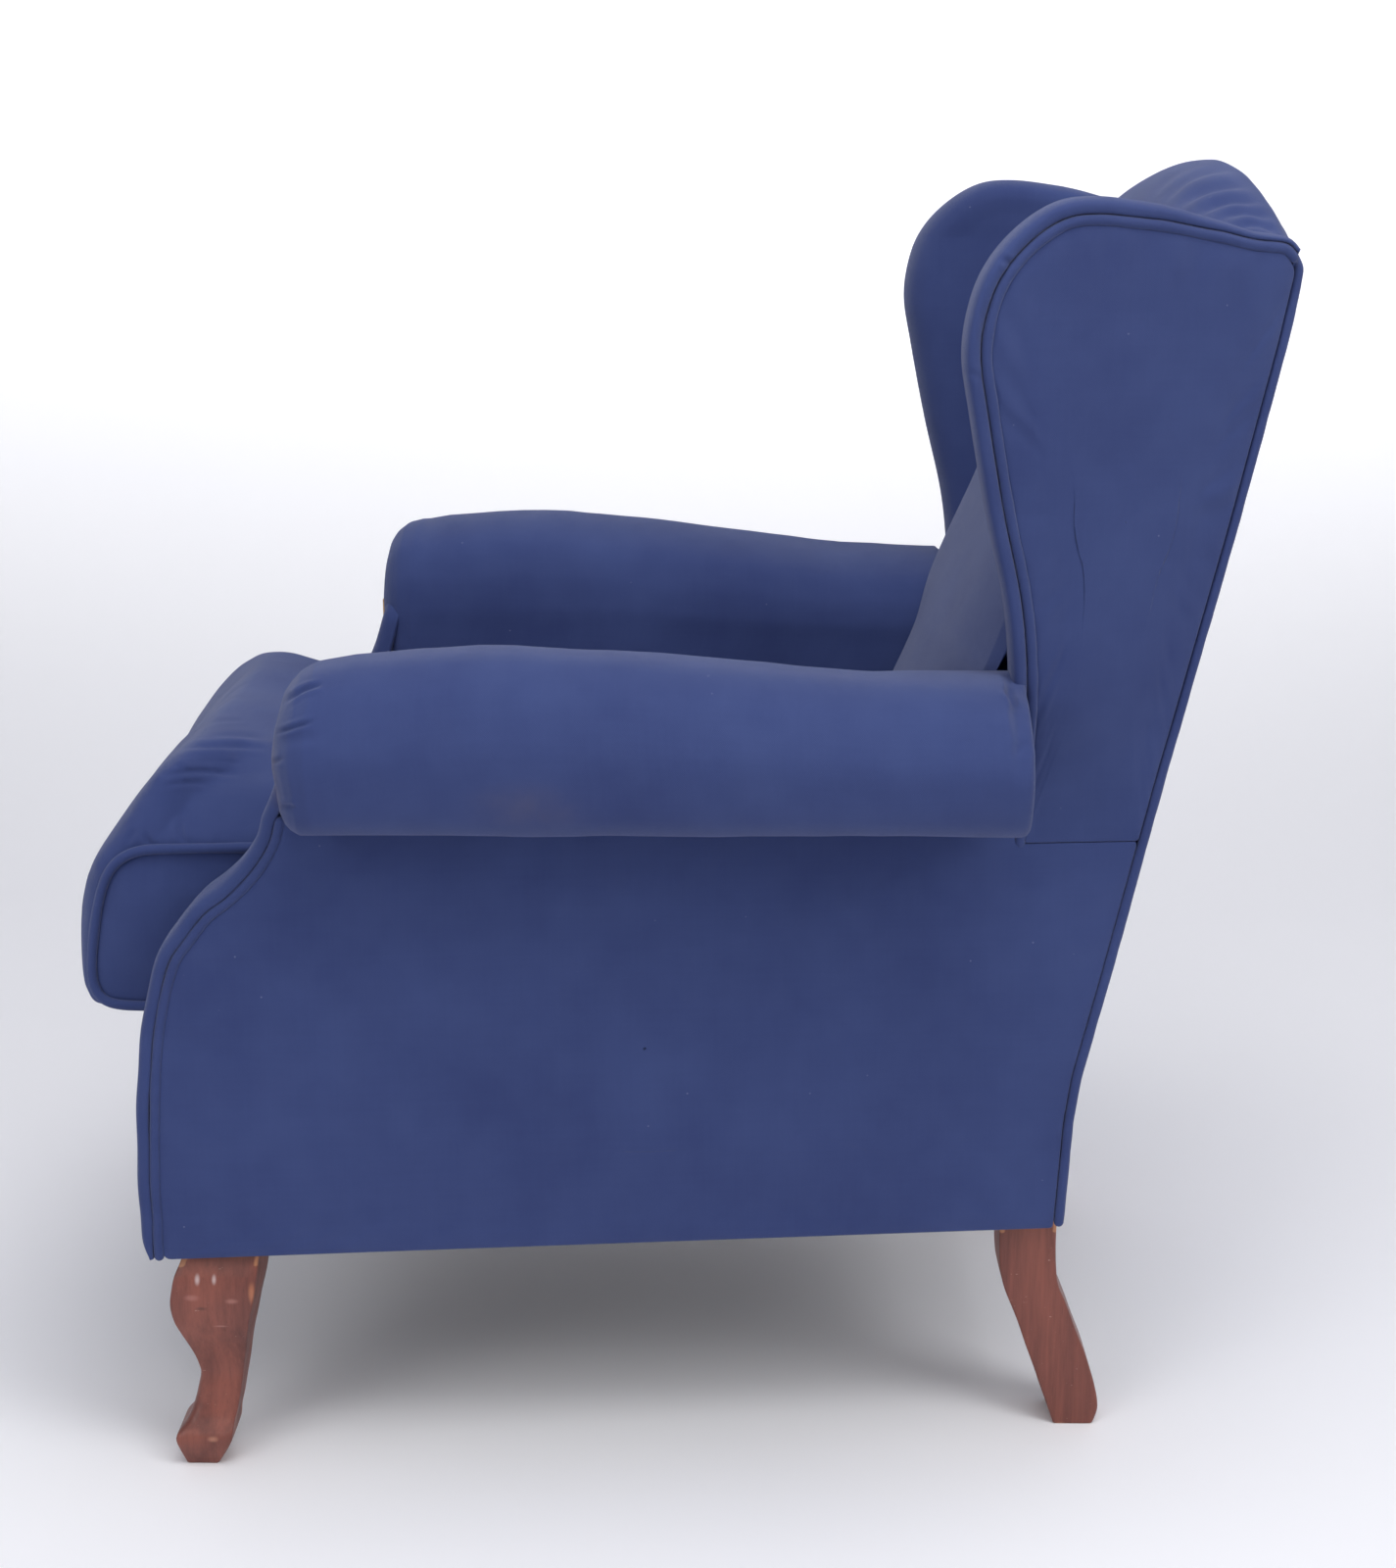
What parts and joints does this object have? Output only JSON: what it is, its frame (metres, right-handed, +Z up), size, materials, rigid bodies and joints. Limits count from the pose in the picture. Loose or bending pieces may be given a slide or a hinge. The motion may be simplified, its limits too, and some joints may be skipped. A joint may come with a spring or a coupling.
{
  "type": "bergere armchair",
  "caption": "Upholstered wing armchair with scroll arms, arched back, loose box seat cushion, S shaped front legs and raked rear legs.",
  "frame": {"origin": "on the floor under the centre of the chair's box", "axes": "+Z up, the front faces -Y, +X to the sitter's left"},
  "size_m": [0.7778, 0.9268, 1.02],
  "materials": {
    "blue_cloth": "fine matt weave",
    "stained_wood": "satin mahogany stain",
    "frame_timber": "raw sawn",
    "webbing": "woven jute",
    "hessian": "coarse weave",
    "foam": "open cell foam",
    "lining": "matt black lining",
    "steel": "zinc"
  },
  "bodies": {
    "chair": {"front_seat_rail": "frame_timber", "rear_seat_rail": "frame_timber", "side_seat_rail_left": "frame_timber", "side_seat_rail_right": "frame_timber", "seat_corner_blocks": "frame_timber", "arm_post_left": "frame_timber", "arm_post_right": "frame_timber", "arm_rail_left": "frame_timber", "arm_rail_right": "frame_timber", "back_post_left": "frame_timber", "back_post_right": "frame_timber", "crest_rail": "frame_timber", "lower_back_rail": "frame_timber", "wing_post_left": "frame_timber", "wing_post_right": "frame_timber", "wing_rail_left": "frame_timber", "wing_rail_right": "frame_timber", "frame_dowels": "frame_timber", "seat_webbing_lengthwise": "webbing", "seat_webbing_crosswise": "webbing", "back_webbing": "webbing", "seat_hessian": "hessian", "deck_pad": "foam", "deck_cover": "lining", "front_border": "blue_cloth", "arm_panel_left": "blue_cloth", "arm_panel_right": "blue_cloth", "arm_front_left": "blue_cloth", "arm_front_right": "blue_cloth", "arm_welt_left": "blue_cloth", "arm_welt_right": "blue_cloth", "inside_arm_left": "blue_cloth", "inside_arm_right": "blue_cloth", "arm_roll_left": "blue_cloth", "arm_roll_right": "blue_cloth", "wing_panel_left": "blue_cloth", "wing_panel_right": "blue_cloth", "wing_pad_left": "blue_cloth", "wing_pad_right": "blue_cloth", "wing_welt_left": "blue_cloth", "wing_welt_right": "blue_cloth", "inside_back": "blue_cloth", "outside_back": "blue_cloth", "back_welt": "blue_cloth", "dust_cover": "lining", "dust_cover_tacks": "steel", "front_leg_left": "stained_wood", "front_leg_right": "stained_wood", "rear_leg_left": "stained_wood", "rear_leg_right": "stained_wood", "leg_bolts": "steel"},
    "cushion": {"cushion_core": "foam", "cushion_cover": "blue_cloth", "cushion_welt_left": "blue_cloth", "cushion_welt_right": "blue_cloth", "cushion_zip": "lining", "zip_slider": "steel"}
  },
  "joints": [
    {"name": "cushion_lift", "type": "slide", "parent": "chair", "child": "cushion", "axis": [0, 0, 1], "range_m": [0, 0.3]}
  ]
}
